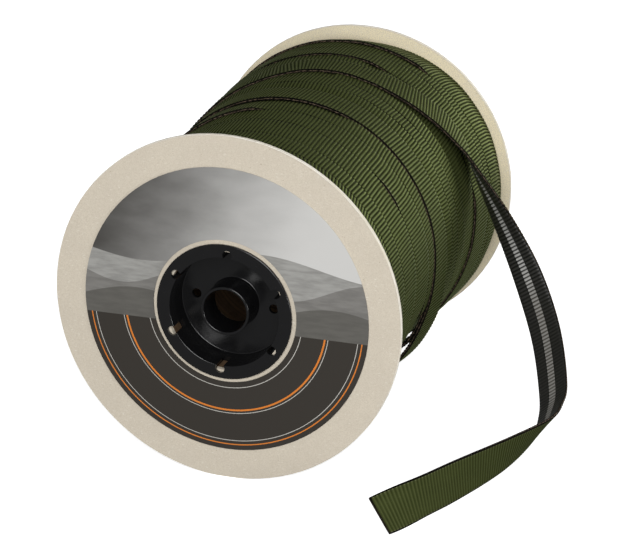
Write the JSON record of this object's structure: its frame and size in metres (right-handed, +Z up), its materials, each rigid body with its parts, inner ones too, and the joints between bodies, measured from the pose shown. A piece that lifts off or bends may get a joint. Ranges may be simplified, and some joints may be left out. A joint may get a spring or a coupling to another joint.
{
  "type": "reel of flat webbing",
  "caption": "Flanged reel wound with flat ribbed webbing, with a hub plug at each end, a label ring, a slack turn and a loose end that rests on the surface.",
  "frame": {"origin": "centre of the bounding box's foot, on the surface that the reel and its loose end rest on", "axes": "+Y along the reel's axis, from the labelled flange to the back one; +X towards the loose end; +Z up"},
  "size_m": [0.2952, 0.3198, 0.2195],
  "materials": {
    "board": "pale flecked fibreboard, matt",
    "core_board": "plain brown board, matt",
    "label_paper": "printed paper, charcoal with a grey picture band, satin",
    "plug_plastic": "black moulded plastic, satin",
    "webbing": "ribbed woven webbing, olive outside, black inside with a pale stripe"
  },
  "bodies": {
    "root": {"flange_front": "board", "flange_back": "board", "core_tube": "core_board", "label": "label_paper", "plug_front": "plug_plastic", "plug_back": "plug_plastic", "winding": "webbing", "slack_turn": "webbing", "loose_end": "webbing"}
  },
  "joints": []
}
